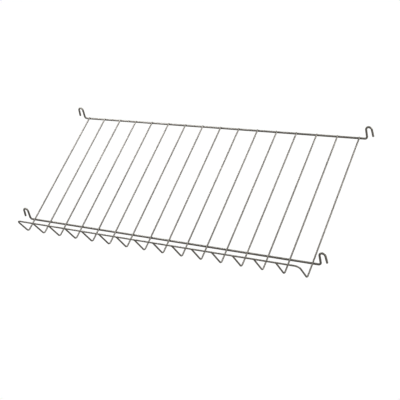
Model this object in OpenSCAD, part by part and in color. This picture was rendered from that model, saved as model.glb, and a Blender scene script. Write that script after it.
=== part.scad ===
// Sloping wire display shelf that hangs by four wire hooks.
// Two horizontal rails carry a row of sloping wires. Each sloping wire turns
// up at its low end and meets a lip wire, which makes a V-shaped trough along
// the low edge. Both rails end in inverted-U hooks that drop over the rungs
// of two side ladders.
// Frame: millimetres, +X along the rails, +Y towards the wall, +Z up.
// The origin is midway between the seats of the two upper hooks.

/* [Wire] */
// Diameter of the two carrying rails and their hooks, over the coating
rail_d = 4.2; // [3.6:0.1:5]
// Diameter of the sloping wires and the lip wire, over the coating
mesh_d = 3.2; // [2.6:0.1:4]
// Depth that a sloping wire beds into a rail at its weld
weld_set = 0.3; // [0.2:0.05:0.5]

/* [Surface] */
// Slope of the wire surface below horizontal, degrees
slope = 25; // [15:1:40]
// Distance between the two rails, measured down the slope
rail_gap = 309; // [200:1:312]
// Distance from the upper rail to the trough's bottom, measured down the slope
apex_run = 343.5; // [325:0.5:360]
// How far the wires reach past the upper rail
top_over = 0.5; // [0:0.5:6]

/* [Sloping wires] */
// Spacing of the inner wires
mesh_pitch = 49; // [30:1:60]
// Spacing from an end wire to its neighbour
end_pitch = 50; // [30:1:60]

/* [Lip] */
// Height of the lip wire above the trough's bottom, centre to centre
lip_h = 48.5; // [30:0.5:80]
// Forward lean of the lip from square to the slope, degrees
lip_lean = 3; // [0:1:15]
// Bend radius at the trough's bottom, on the wire's centre line
trough_r = 6; // [4:0.5:12]
// Bend radius of the lip's two top corners, on the wire's centre line
corner_r = 10; // [5:0.5:20]

/* [Hooks] */
// Distance from an end wire out to the hook's rising leg
hook_out = 16.7; // [12:0.1:30]
// Bend radius where a rail turns up into its hook, on the centre line
hook_bend_r = 5.5; // [4:0.5:11]
// Clear gap inside a hook
hook_gap = 8.6; // [6:0.1:14]
// Height of the hook's seat centre above the rail
hook_h = 21.5; // [18:0.5:40]
// Length of the hook's straight free leg
hook_leg = 15.8; // [8:0.1:17]
// Outward flare of the hook's free leg from vertical, degrees
hook_flare = 5; // [1:0.5:15]

/* [Hidden] */
$fn = 48;

coat = "#5a5753";

// Number of wires between the two end wires, one node each
mesh_n = 14;

// A wire draws this much thinner in its trough bend and in a hook's arch
bend_thin = 0.02;
// Such a bend runs this far into the straights beside it, degrees
bend_lap = 0.2;

// Wires sit on top of the rails, bedded in by weld_set
bed = (rail_d + mesh_d) / 2 - weld_set;
inner_w = (mesh_n - 1) * mesh_pitch;
end_x = inner_w / 2 + end_pitch;

// Trough bend, and the straights beside it
trough_a = 90 - lip_lean;
trough_t = trough_r * tan(trough_a / 2);
slope_run = top_over + apex_run - trough_t;
leg_run = lip_h - trough_t;

// Hooks
seat_r = (hook_gap + rail_d) / 2;
riser_x = end_x + hook_out;

function wire_x(i) = -inner_w / 2 + i * mesh_pitch;

// A wire is drawn as a chain: each step starts at the local origin, heads
// along local +Z and hands the next step the frame at its far end.

// Last straight of length l
module end_run(l, d) {
    cylinder(d = d, h = l);
}

// Straight of length l
module run(l, d) {
    end_run(l, d);
    translate([0, 0, l]) children();
}

// Bend through a degrees towards local +X, with centre-line radius r
module turn(a, r, d, thin = 0, lap = 0) {
    translate([r, 0, 0]) {
        rotate([90, 0, 0])
            rotate([0, 0, 180 - a - lap])
                rotate_extrude(angle = a + 2 * lap)
                    translate([r, 0])
                        circle(d = d - thin);
        rotate([0, a, 0])
            translate([-r, 0, 0])
                children();
    }
}

module trough_turn() {
    turn(trough_a, trough_r, mesh_d, bend_thin, bend_lap) children();
}

// Frame on the upper rail's axis at x, with local +Z down the slope and
// local +X square out of the surface
module on_slope(x) {
    translate([x, 0, -hook_h])
        rotate([90 + slope, 0, 0])
            rotate([0, 0, 90])
                children();
}

// Hook at the right-hand end of a rail, from the rail's last straight
module hook() {
    rotate([0, 90, 0])
        rotate([0, 0, 180])
            turn(90, hook_bend_r, rail_d)
                run(hook_h - hook_bend_r, rail_d)
                    rotate([0, 0, 180])
                        turn(180 - hook_flare, seat_r, rail_d, bend_thin, bend_lap)
                            end_run(hook_leg, rail_d);
}

// Straight rail between two hooks, along X through the local origin
module rail_wire() {
    straight = 2 * (riser_x - hook_bend_r);
    translate([-straight / 2, 0, 0])
        rotate([0, 90, 0])
            cylinder(d = rail_d, h = straight);
    translate([straight / 2, 0, 0]) hook();
    mirror([1, 0, 0])
        translate([straight / 2, 0, 0]) hook();
}

// Stretches of all the wires that cross a rail at distance s down the slope
module wire_beds(s) {
    for (x = concat([-end_x, end_x], [for (i = [0:mesh_n - 1]) wire_x(i)]))
        on_slope(x)
            translate([bed, 0, s - 10])
                cylinder(d = mesh_d, h = 20);
}

// Rail at distance s down the slope, with a bed for each wire that crosses it
module rail(s) {
    color(coat)
        difference() {
            translate([0, -s * cos(slope), -hook_h - s * sin(slope)])
                rail_wire();
            wire_beds(s);
        }
}

module upper_rail() {
    rail(0);
}

module lower_rail() {
    rail(rail_gap);
}

// Left end wire, lip and right end wire, bent from one length
module lip_frame() {
    color(coat)
        on_slope(-end_x)
            translate([bed, 0, -top_over])
                run(slope_run, mesh_d)
                trough_turn()
                run(leg_run - corner_r, mesh_d)
                rotate([0, 0, -90])
                turn(90, corner_r, mesh_d)
                run(2 * (end_x - corner_r), mesh_d)
                turn(90, corner_r, mesh_d)
                run(leg_run - corner_r, mesh_d)
                rotate([0, 0, 90])
                trough_turn()
                end_run(slope_run, mesh_d);
}

// Inner wire number i from the left: down the slope, round the trough and up
// to the underside of the lip wire, where its end is shaped to the lip
module mesh_wire(i) {
    color(coat)
        on_slope(wire_x(i))
            translate([bed, 0, -top_over])
                run(slope_run, mesh_d)
                trough_turn()
                difference() {
                    end_run(leg_run - mesh_d / 2 + weld_set, mesh_d);
                    translate([0, 6, leg_run])
                        rotate([90, 0, 0])
                            cylinder(d = mesh_d, h = 12);
                }
}

upper_rail();
lower_rail();
lip_frame();
mesh_wire(0);  // mesh_wire_01
mesh_wire(1);  // mesh_wire_02
mesh_wire(2);  // mesh_wire_03
mesh_wire(3);  // mesh_wire_04
mesh_wire(4);  // mesh_wire_05
mesh_wire(5);  // mesh_wire_06
mesh_wire(6);  // mesh_wire_07
mesh_wire(7);  // mesh_wire_08
mesh_wire(8);  // mesh_wire_09
mesh_wire(9);  // mesh_wire_10
mesh_wire(10);  // mesh_wire_11
mesh_wire(11);  // mesh_wire_12
mesh_wire(12);  // mesh_wire_13
mesh_wire(13);  // mesh_wire_14
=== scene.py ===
import bpy
import math
import numpy as np
from mathutils import Matrix, Vector


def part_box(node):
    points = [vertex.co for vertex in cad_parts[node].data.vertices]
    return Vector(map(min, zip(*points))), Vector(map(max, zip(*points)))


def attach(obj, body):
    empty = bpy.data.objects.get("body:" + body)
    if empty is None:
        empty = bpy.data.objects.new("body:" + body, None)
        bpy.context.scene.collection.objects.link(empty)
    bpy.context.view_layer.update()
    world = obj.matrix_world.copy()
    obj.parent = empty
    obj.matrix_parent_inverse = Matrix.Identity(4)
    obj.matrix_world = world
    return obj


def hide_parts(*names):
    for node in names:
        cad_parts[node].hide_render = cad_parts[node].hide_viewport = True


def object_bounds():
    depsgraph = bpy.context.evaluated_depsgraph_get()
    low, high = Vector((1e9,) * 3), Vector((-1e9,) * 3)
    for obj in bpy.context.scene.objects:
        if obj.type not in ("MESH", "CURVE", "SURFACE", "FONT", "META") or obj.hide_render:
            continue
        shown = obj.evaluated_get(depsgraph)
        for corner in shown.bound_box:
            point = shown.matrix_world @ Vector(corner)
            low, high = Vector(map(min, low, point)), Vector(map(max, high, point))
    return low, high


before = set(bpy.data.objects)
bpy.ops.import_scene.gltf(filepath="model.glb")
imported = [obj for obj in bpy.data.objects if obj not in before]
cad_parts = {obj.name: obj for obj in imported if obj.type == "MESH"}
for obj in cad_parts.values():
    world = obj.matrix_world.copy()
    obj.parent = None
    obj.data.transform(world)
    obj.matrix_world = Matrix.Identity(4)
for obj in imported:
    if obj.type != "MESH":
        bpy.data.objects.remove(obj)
cad_box = [[float(v) for v in c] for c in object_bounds()]
MM = 0.001

# ---------------------------------------------------------------- design, read back from the frame

UP_LO, UP_HI = (Vector(c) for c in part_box("upper_rail"))
LW_LO, LW_HI = (Vector(c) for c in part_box("lower_rail"))
R_RAIL = (UP_HI.y - UP_LO.y) / 2
MW_LO, MW_HI = (Vector(c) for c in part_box("mesh_wire_01"))
R_WIRE = (MW_HI.x - MW_LO.x) / 2
UP_AXIS = Vector((0, (UP_LO.y + UP_HI.y) / 2, UP_LO.z + R_RAIL))
LW_AXIS = Vector((0, (LW_LO.y + LW_HI.y) / 2, LW_LO.z + R_RAIL))
DOWN = (LW_AXIS - UP_AXIS).normalized()
OUT = Vector((1, 0, 0)).cross(DOWN)
if OUT.z < 0:
    OUT = -OUT
SEAT_R = 6.4 * MM
HOOK_BEND_R = 5.5 * MM
HOOK_LEG = 15.8 * MM
FLARE = math.radians(5.0)
SEAT_X = UP_HI.x - (SEAT_R + R_RAIL) * math.cos(FLARE) - HOOK_LEG * math.sin(FLARE)
RISER_X = SEAT_X - SEAT_R
BED = R_RAIL + R_WIRE - 0.3 * MM
TOP_OVER = 0.5 * MM
APEX_RUN = 343.5 * MM
LIP_H = 48.5 * MM
LEAN = math.radians(3.0)
TROUGH_R = 6.0 * MM
CORNER_R = 10.0 * MM
WIRE_TOP = UP_AXIS + BED * OUT - TOP_OVER * DOWN
APEX = UP_AXIS + BED * OUT + APEX_RUN * DOWN
LIP_DIR = math.cos(LEAN) * OUT + math.sin(LEAN) * DOWN
LIP_AXIS = APEX + LIP_H * LIP_DIR
INNER = ["mesh_wire_%02d" % i for i in range(1, 15)]
INNER_X = [(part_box(n)[0][0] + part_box(n)[1][0]) / 2 for n in INNER]
END_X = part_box("lip_frame")[1][0] - R_WIRE


def at_x(x, p):
    return Vector((x, p.y, p.z))


# ---------------------------------------------------------------- bent wire meshes

def path(points, radii, step, arc):
    """Samples of a wire bent at its inner points: position, tangent, side towards the bend's centre, how far into a bend."""
    out = []
    n = len(points)
    cut = [0.0] * n
    for i in range(1, n - 1):
        a = (points[i - 1] - points[i]).normalized()
        b = (points[i + 1] - points[i]).normalized()
        turn = math.pi - a.angle(b)
        cut[i] = radii[i] * math.tan(turn / 2)
    for i in range(n - 1):
        d = (points[i + 1] - points[i]).normalized()
        start = points[i] + cut[i] * d
        end = points[i + 1] - cut[i + 1] * d
        length = (end - start).length
        if length > 1e-6:
            steps = max(1, round(length / step))
            for k in range(steps + 1):
                if k == 0 and out:
                    continue
                out.append((start + d * (length * k / steps), d, Vector(), 0.0))
        elif not out:
            out.append((start, d, Vector(), 0.0))
        if i + 1 < n - 1:
            a = -d
            b = (points[i + 2] - points[i + 1]).normalized()
            turn = math.pi - a.angle(b)
            centre = end + (b - d * d.dot(b)).normalized() * radii[i + 1]
            axis = d.cross(b).normalized()
            steps = max(4, round(turn / arc))
            for k in range(1, steps + 1):
                rot = Matrix.Rotation(turn * k / steps, 3, axis)
                pos = centre + rot @ (end - centre)
                side = (centre - pos).normalized()
                out.append((pos, (rot @ d).normalized(), side, math.sin(math.pi * k / steps)))
    return out


def tube(name, samples, radius, sides, first_end, last_end, rub=None):
    """A closed wire along the samples. An end is its edge's rounding in metres, or None where it is buried in another wire."""
    verts, faces, marks = [], [], []
    normal = samples[0][1].orthogonal().normalized()
    frames = []
    tan = samples[0][1]
    for pos, t, side, w in samples:
        if (t - tan).length > 1e-9:
            axis = tan.cross(t)
            if axis.length > 1e-12:
                normal = Matrix.Rotation(tan.angle(t), 3, axis.normalized()) @ normal
        normal = (normal - t * normal.dot(t)).normalized()
        tan = t
        frames.append((pos, t, normal, t.cross(normal), side, w))

    rings = []

    def ring(f, r, shift=0.0):
        pos, t, e1, e2, side, w = f
        rows = []
        for k in range(sides):
            a = 2 * math.pi * k / sides
            o = e1 * (r * math.cos(a)) + e2 * (r * math.sin(a))
            if w > 0:
                # a bent wire flattens a little on the inside of the bend
                inward = o.dot(side)
                o = o - side * (inward * 0.035 * w if inward > 0 else inward * 0.012 * w)
            p = pos + t * shift + o
            rows.append(len(verts))
            verts.append(p)
            marks.append(rub(p) if rub else 0.0)
        rings.append(rows)

    def cap(f, sign, edge, first):
        steps = 5
        order = range(steps + 1)
        shapes = []
        for j in order:
            phi = math.pi / 2 * j / steps
            shapes.append((radius - edge + edge * math.cos(phi), sign * (-edge + edge * math.sin(phi))))
        dome = 0.03 * radius
        shapes.append(((radius - edge) * 0.55, sign * dome * 0.6))
        if first:
            shapes = shapes[::-1]
        for r, shift in shapes:
            ring(f, r, shift)

    first, last = frames[0], frames[-1]
    body = frames
    if first_end is not None:
        cap(first, -1.0, first_end, True)
        body = body[1:]
    if last_end is not None:
        body = body[:-1]
    for f in body:
        ring(f, radius)
    if last_end is not None:
        cap(last, 1.0, last_end, False)
    for a, b in zip(rings, rings[1:]):
        for k in range(sides):
            m = (k + 1) % sides
            faces.append((a[k], a[m], b[m], b[k]))
    for rows, f, sign in ((rings[0], first, -1.0), (rings[-1], last, 1.0)):
        c = len(verts)
        verts.append(f[0] + f[1] * (sign * 0.03 * radius))
        marks.append(0.0)
        for k in range(sides):
            m = (k + 1) % sides
            faces.append((rows[m], rows[k], c) if sign < 0 else (rows[k], rows[m], c))
    return finish_mesh(name, [tuple(v) for v in verts], faces, marks)


def finish_mesh(name, verts, faces, marks=None):
    mesh = bpy.data.meshes.new(name)
    mesh.from_pydata(verts, [], faces)
    mesh.validate()
    attr = mesh.attributes.new("rub", "FLOAT", "POINT")
    if marks is not None:
        attr.data.foreach_set("value", marks)
    mesh.polygons.foreach_set("use_smooth", [True] * len(mesh.polygons))
    mesh.update()
    ob = bpy.data.objects.new(name, mesh)
    bpy.context.scene.collection.objects.link(ob)
    return ob


# ---------------------------------------------------------------- weld fillets

def cylinder_distance(p, origin, axis, r):
    q = p - np.array(origin)
    a = np.array(axis)
    along = q @ a
    return np.sqrt(np.maximum((q * q).sum(-1) - along * along, 1e-18)) - r


def smooth_min(a, b, k):
    h = np.clip(0.5 + 0.5 * (b - a) / k, 0.0, 1.0)
    return b * (1 - h) + a * h - k * h * (1 - h)


def surface(field, lo, hi, cell):
    """Closed surface where field is 0, by surface nets, pulled on to the exact surface."""
    n = np.ceil((hi - lo) / cell).astype(int) + 1
    axes = [lo[i] + cell * np.arange(n[i]) for i in range(3)]
    grid = np.stack(np.meshgrid(*axes, indexing="ij"), -1)
    f = field(grid)
    inside = f < 0
    edges = []
    for ax in range(3):
        sl0 = [slice(None)] * 3
        sl1 = [slice(None)] * 3
        sl0[ax] = slice(0, -1)
        sl1[ax] = slice(1, None)
        cross = inside[tuple(sl0)] != inside[tuple(sl1)]
        idx = np.argwhere(cross)
        f0 = f[tuple(sl0)][cross]
        f1 = f[tuple(sl1)][cross]
        t = f0 / (f0 - f1)
        pts = grid[tuple(sl0)][cross].copy()
        pts[:, ax] += t * cell
        edges.append((idx, pts, inside[tuple(sl0)][cross]))
    cells = {}
    sums = {}
    for ax, (idx, pts, _) in enumerate(edges):
        u, v = [a for a in range(3) if a != ax]
        for (i, p) in zip(idx, pts):
            for du in (0, -1):
                for dv in (0, -1):
                    c = list(i)
                    c[u] += du
                    c[v] += dv
                    c = tuple(int(x) for x in c)
                    s = sums.get(c)
                    if s is None:
                        sums[c] = [p.copy(), 1]
                    else:
                        s[0] += p
                        s[1] += 1
    verts = []
    for c, (s, m) in sums.items():
        cells[c] = len(verts)
        verts.append(s / m)
    verts = np.array(verts)
    for _ in range(4):
        g = np.zeros_like(verts)
        for ax in range(3):
            e = np.zeros(3)
            e[ax] = cell * 0.05
            g[:, ax] = (field(verts + e) - field(verts - e)) / (cell * 0.1)
        verts = verts - g * (field(verts) / np.maximum((g * g).sum(-1), 1e-9))[:, None] * 0.8
    faces = []
    for ax, (idx, _, low_inside) in enumerate(edges):
        u, v = [a for a in range(3) if a != ax]
        for i, flip in zip(idx, low_inside):
            q = []
            for du, dv in ((0, 0), (-1, 0), (-1, -1), (0, -1)):
                c = list(i)
                c[u] += du
                c[v] += dv
                q.append(cells[tuple(int(x) for x in c)])
            if (ax == 1) == bool(flip):
                q = q[::-1]
            faces.append(tuple(q))
    return verts, faces


def place_welds(name, shape, spots):
    """One piece with a copy of the weld at each spot: (point in metres, x axis, y axis, z axis)."""
    verts, faces = [], []
    base_v, base_f = shape
    for n, (at, ex, ey, ez) in enumerate(spots):
        # no two welds are alike: each is turned over or shrunk a touch
        grow = 1.0 - 0.05 * ((n * 7) % 5) / 4
        flip = -1.0 if (n * 5) % 3 == 1 else 1.0
        m = np.array([[ex.x * flip, ey.x, ez.x], [ex.y * flip, ey.y, ez.y], [ex.z * flip, ey.z, ez.z]])
        pts = (base_v * np.array([grow, grow, 1.0])) @ m.T * MM + np.array(at)
        start = len(verts)
        verts += [tuple(p) for p in pts]
        for f in base_f:
            g = tuple(start + i for i in f)
            faces.append(g[::-1] if flip < 0 else g)
    return finish_mesh(name, verts, faces)


# ---------------------------------------------------------------- materials

def powder_coat(name, colour, rough, weld=False):
    mat = bpy.data.materials.new(name)
    mat.use_nodes = True
    nt = mat.node_tree
    nt.nodes.clear()
    out = nt.nodes.new("ShaderNodeOutputMaterial")
    bsdf = nt.nodes.new("ShaderNodeBsdfPrincipled")
    nt.links.new(bsdf.outputs["BSDF"], out.inputs["Surface"])
    bsdf.inputs["Specular IOR Level"].default_value = 0.5
    bsdf.inputs["IOR"].default_value = 1.5
    bsdf.inputs["Coat Weight"].default_value = 0.0
    coord = nt.nodes.new("ShaderNodeTexCoord")

    def noise(scale_mm, detail, rough_, distortion=0.0):
        t = nt.nodes.new("ShaderNodeTexNoise")
        t.inputs["Scale"].default_value = 1000.0 / scale_mm
        t.inputs["Detail"].default_value = detail
        t.inputs["Roughness"].default_value = rough_
        t.inputs["Distortion"].default_value = distortion
        nt.links.new(coord.outputs["Object"], t.inputs["Vector"])
        return t.outputs["Fac"]

    def ramp(value, lo, hi, a, b):
        m = nt.nodes.new("ShaderNodeMapRange")
        m.inputs["From Min"].default_value = lo
        m.inputs["From Max"].default_value = hi
        m.inputs["To Min"].default_value = a
        m.inputs["To Max"].default_value = b
        nt.links.new(value, m.inputs["Value"])
        return m.outputs["Result"]

    def math_(op, a, b):
        m = nt.nodes.new("ShaderNodeMath")
        m.operation = op
        for i, v in enumerate((a, b)):
            if isinstance(v, (int, float)):
                m.inputs[i].default_value = v
            else:
                nt.links.new(v, m.inputs[i])
        return m.outputs["Value"]

    def mix_colour(fac, a, b, mode="MIX"):
        m = nt.nodes.new("ShaderNodeMix")
        m.data_type = "RGBA"
        m.blend_type = mode
        nt.links.new(fac, m.inputs["Factor"])
        for key, v in ((6, a), (7, b)):
            if isinstance(v, tuple):
                m.inputs[key].default_value = v
            else:
                nt.links.new(v, m.inputs[key])
        return m.outputs[2]

    rub = nt.nodes.new("ShaderNodeAttribute")
    rub.attribute_name = "rub"
    rub = rub.outputs["Fac"]

    # colour: pigment that drifts a little along the wire, and a fine fleck
    drift = noise(55.0, 2.0, 0.5)
    fleck = noise(0.5, 3.0, 0.65)
    c = colour
    light = tuple(min(1.0, v * 1.12) for v in c) + (1.0,)
    dark = tuple(v * 0.9 for v in c) + (1.0,)
    base = mix_colour(ramp(drift, 0.36, 0.64, 0.0, 1.0), dark, light)
    fine = mix_colour(ramp(fleck, 0.56, 0.74, 0.0, 0.22), base, tuple(min(1.0, v * 1.9) for v in c) + (1.0,))

    # rubbed coat, polished first and then worn through to steel in patches
    patch = noise(1.7, 4.0, 0.6, 0.4)
    worn = math_("MULTIPLY", rub, ramp(patch, 0.42, 0.62, 0.0, 1.0))
    through = ramp(worn, 0.45, 0.62, 0.0, 1.0)
    polish = ramp(rub, 0.05, 0.8, 0.0, 1.0)
    coloured = mix_colour(polish, fine, tuple(min(1.0, v * 1.25) for v in c) + (1.0,))
    final = mix_colour(through, coloured, (0.42, 0.41, 0.39, 1.0))
    nt.links.new(final, bsdf.inputs["Base Color"])
    nt.links.new(math_("MULTIPLY", through, 0.9), bsdf.inputs["Metallic"])

    rough_map = math_("ADD", ramp(noise(6.0, 3.0, 0.6), 0.3, 0.7, rough - 0.05, rough + 0.06), ramp(rub, 0.0, 1.0, 0.0, -0.14))
    nt.links.new(rough_map, bsdf.inputs["Roughness"])

    # orange peel, grain of the powder and, near a weld, a coarser skin
    peel = noise(1.5, 2.0, 0.45)
    grain = noise(0.28, 2.0, 0.5)
    height = math_("ADD", math_("MULTIPLY", peel, 1.0), math_("MULTIPLY", grain, 0.22))
    if weld:
        height = math_("ADD", height, math_("MULTIPLY", noise(0.8, 4.0, 0.6, 0.3), 1.1))
    bump = nt.nodes.new("ShaderNodeBump")
    bump.inputs["Strength"].default_value = 0.42 if weld else 0.26
    bump.inputs["Distance"].default_value = 0.00006
    nt.links.new(height, bump.inputs["Height"])
    nt.links.new(bump.outputs["Normal"], bsdf.inputs["Normal"])
    return mat


COAT = (0.101, 0.0957, 0.0862)
coat_rail = powder_coat("coat_rail", COAT, 0.42)
coat_wire = powder_coat("coat_wire", COAT, 0.42)
coat_weld = powder_coat("coat_weld", tuple(v * 0.96 for v in COAT), 0.46, weld=True)


def dress(piece, mat, slot, *nodes):
    piece.data.materials.append(mat)
    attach(piece, "root")
    if nodes:
        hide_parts(*nodes)


# ---------------------------------------------------------------- rails with hooks

def rail(name, axis):
    top = axis.z + (UP_HI.z - UP_AXIS.z) - R_RAIL

    def p(x, z):
        return Vector((x, axis.y, z))
    seat_z = top - SEAT_R
    leg = Vector((math.sin(FLARE), 0, -math.cos(FLARE)))
    cut = SEAT_R * math.tan((math.pi / 2 - FLARE) / 2)
    shoulder = p(SEAT_X + cut, top)
    half = [p(RISER_X, axis.z), p(RISER_X, top), shoulder, shoulder + leg * (cut + HOOK_LEG)]
    tip = half[-1]
    pts = [Vector((-q.x, q.y, q.z)) for q in half[::-1]] + half
    radii = [0, SEAT_R, SEAT_R, HOOK_BEND_R, HOOK_BEND_R, SEAT_R, SEAT_R, 0]
    samples = path(pts, radii, 8 * MM, math.radians(4))

    def rub(v):
        # the coat rubs where the arch sits on the rung and on the tip that finds the rung first
        out = abs(v.x) - SEAT_X
        under = math.hypot(out, v.z - seat_z)
        a = max(0.0, 1.0 - abs(under - (SEAT_R - R_RAIL)) / (0.9 * MM)) if v.z > seat_z and abs(out) < 5 * MM else 0.0
        b = max(0.0, 1.0 - (v.z - tip.z) / (1.6 * MM)) * 0.75 if out > 2 * MM and v.z < seat_z else 0.0
        return min(1.0, max(a, b))
    return tube(name, samples, R_RAIL, 40, 0.45 * MM, 0.45 * MM, rub)


upper = rail("upper_rail_wire", UP_AXIS)
dress(upper, coat_rail, "rail_coat", "upper_rail")
lower = rail("lower_rail_wire", LW_AXIS)
dress(lower, coat_rail, "rail_coat", "lower_rail")

# ---------------------------------------------------------------- lip frame and sloping wires

pts = [at_x(-END_X, WIRE_TOP), at_x(-END_X, APEX), at_x(-END_X, LIP_AXIS),
       at_x(END_X, LIP_AXIS), at_x(END_X, APEX), at_x(END_X, WIRE_TOP)]
lip = tube("lip_frame_wire",
           path(pts, [0, TROUGH_R, CORNER_R, CORNER_R, TROUGH_R, 0], 8 * MM, math.radians(4)),
           R_WIRE, 36, 0.3 * MM, 0.3 * MM)
dress(lip, coat_wire, "wire_coat", "lip_frame")

for name, x in zip(INNER, INNER_X):
    pts = [at_x(x, WIRE_TOP), at_x(x, APEX), at_x(x, LIP_AXIS - LIP_DIR * (0.2 * MM))]
    wire = tube(name + "_wire", path(pts, [0, TROUGH_R, 0], 8 * MM, math.radians(4)),
                R_WIRE, 36, 0.3 * MM, 0.3 * MM)
    dress(wire, coat_wire, "wire_coat", name)

# ---------------------------------------------------------------- welds

X, Y, Z = Vector((1, 0, 0)), Vector((0, 1, 0)), Vector((0, 0, 1))
gap = (BED / MM)
mid = R_RAIL / MM
rw = R_WIRE / MM


def cross_shape(end):
    """Rail along local x, wire along local y above it, ending at y = end when that is given."""
    def field(p):
        a = cylinder_distance(p, (0, 0, gap - mid), (0, 1, 0), rw)
        if end is not None:
            a = np.maximum(a, p[..., 1] - end)
        b = cylinder_distance(p, (0, 0, -mid), (1, 0, 0), mid)
        away = np.sqrt((p * p).sum(-1))
        sink = 0.015 + 0.30 * np.maximum(away - 1.9, 0) ** 2
        return smooth_min(a, b, 1.5) + sink
    return surface(field, np.array([-4.8, -4.8, -4.4]), np.array([4.8, 4.8, 4.4]), 0.22)


def tee_shape():
    """Lip wire along local x, upturned wire along local -z."""
    def field(p):
        a = cylinder_distance(p, (0, 0, rw), (1, 0, 0), rw)
        b = np.maximum(cylinder_distance(p, (0, 0, 0), (0, 0, 1), rw), p[..., 2] - 1.2)
        away = np.sqrt((p * p).sum(-1))
        sink = 0.015 + 0.30 * np.maximum(away - 2.0, 0) ** 2
        return smooth_min(a, b, 1.6) + sink
    return surface(field, np.array([-4.8, -4.8, -4.4]), np.array([4.8, 4.8, 4.4]), 0.22)


tee = tee_shape()
ALL_X = [-END_X] + INNER_X + [END_X]
for name, axis, end in (("upper_rail_welds", UP_AXIS, TOP_OVER / MM), ("lower_rail_welds", LW_AXIS, None)):
    cross = cross_shape(end)
    spots = [(at_x(x, axis + OUT * R_RAIL), X, -DOWN, OUT) for x in ALL_X]
    dress(place_welds(name, cross, spots), coat_weld, "wire_coat")
spots = [(at_x(x, LIP_AXIS - LIP_DIR * R_WIRE), X, LIP_DIR.cross(X), LIP_DIR) for x in INNER_X]
dress(place_welds("lip_welds", tee, spots), coat_weld, "wire_coat")

# ---------------------------------------------------------------- stage, light and camera

# the floor is a light table: evenly white, with no shadows of its own

lo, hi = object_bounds()
floor_z = min(lo[2], cad_box[0][2]) - 0.5
mesh = bpy.data.meshes.new("floor")
s = 14.0
mesh.from_pydata([(-s, -s, floor_z), (s, -s, floor_z), (s, s, floor_z), (-s, s, floor_z)], [], [(0, 1, 2, 3)])
floor = bpy.data.objects.new("floor", mesh)
bpy.context.scene.collection.objects.link(floor)
paper = bpy.data.materials.new("pale_floor")
paper.use_nodes = True
b = paper.node_tree.nodes["Principled BSDF"]
b.inputs["Base Color"].default_value = (0.0, 0.0, 0.0, 1)
b.inputs["Roughness"].default_value = 1.0
b.inputs["Specular IOR Level"].default_value = 0.0
b.inputs["Emission Color"].default_value = (1.0, 1.0, 1.0, 1)
b.inputs["Emission Strength"].default_value = 1.01
mesh.materials.append(paper)

world = bpy.data.worlds.new("studio")
bpy.context.scene.world = world
world.use_nodes = True
bg = world.node_tree.nodes["Background"]
bg.inputs["Color"].default_value = (1, 1, 1, 1)
bg.inputs["Strength"].default_value = 1.0


def area(name, at, to, size, watts):
    light = bpy.data.lights.new(name, "AREA")
    light.shape = "RECTANGLE"
    light.size, light.size_y = size
    light.energy = watts
    ob = bpy.data.objects.new(name, light)
    ob.location = at
    ob.rotation_euler = (Vector(to) - Vector(at)).to_track_quat("-Z", "Y").to_euler()
    bpy.context.scene.collection.objects.link(ob)
    return ob


def sun(name, azimuth, elevation, spread, strength):
    """A soft light from far off; azimuth runs from the front (-Y) towards the right (+X), in degrees."""
    az, el = math.radians(azimuth), math.radians(elevation)
    towards = Vector((math.sin(az) * math.cos(el), -math.cos(az) * math.cos(el), math.sin(el)))
    light = bpy.data.lights.new(name, "SUN")
    light.energy = strength
    light.angle = math.radians(spread)
    ob = bpy.data.objects.new(name, light)
    ob.rotation_euler = (-towards).to_track_quat("-Z", "Y").to_euler()
    bpy.context.scene.collection.objects.link(ob)
    return ob


MIDDLE = (0.0, -0.15, -0.1)
area("key", (-0.5, -0.1, 0.6), MIDDLE, (0.6, 0.6), 15.5)
area("rim", (1.1, 0.6, 0.5), MIDDLE, (0.6, 0.6), 25.0)
area("fill", (1.1, -0.8, 0.3), MIDDLE, (0.6, 0.6), 9.0)
sun("side", 90, 45, 25, 1.27)

cam = bpy.data.cameras.new("camera")
cam.sensor_fit = "HORIZONTAL"
cam.sensor_width = 36.0
cam.lens = 79.833
cam.clip_start = 0.05
cam.clip_end = 60.0
cam_ob = bpy.data.objects.new("camera", cam)
cam_ob.location = (1.09942, -1.53594, 0.84696)
cam_ob.rotation_mode = "QUATERNION"
cam_ob.rotation_quaternion = (0.84269798, 0.45759806, 0.21828059, 0.18115662)
bpy.context.scene.collection.objects.link(cam_ob)
bpy.context.scene.camera = cam_ob

view = bpy.context.scene.view_settings
view.view_transform = "Standard"
view.look = "None"
view.exposure = 0.0
view.gamma = 0.62
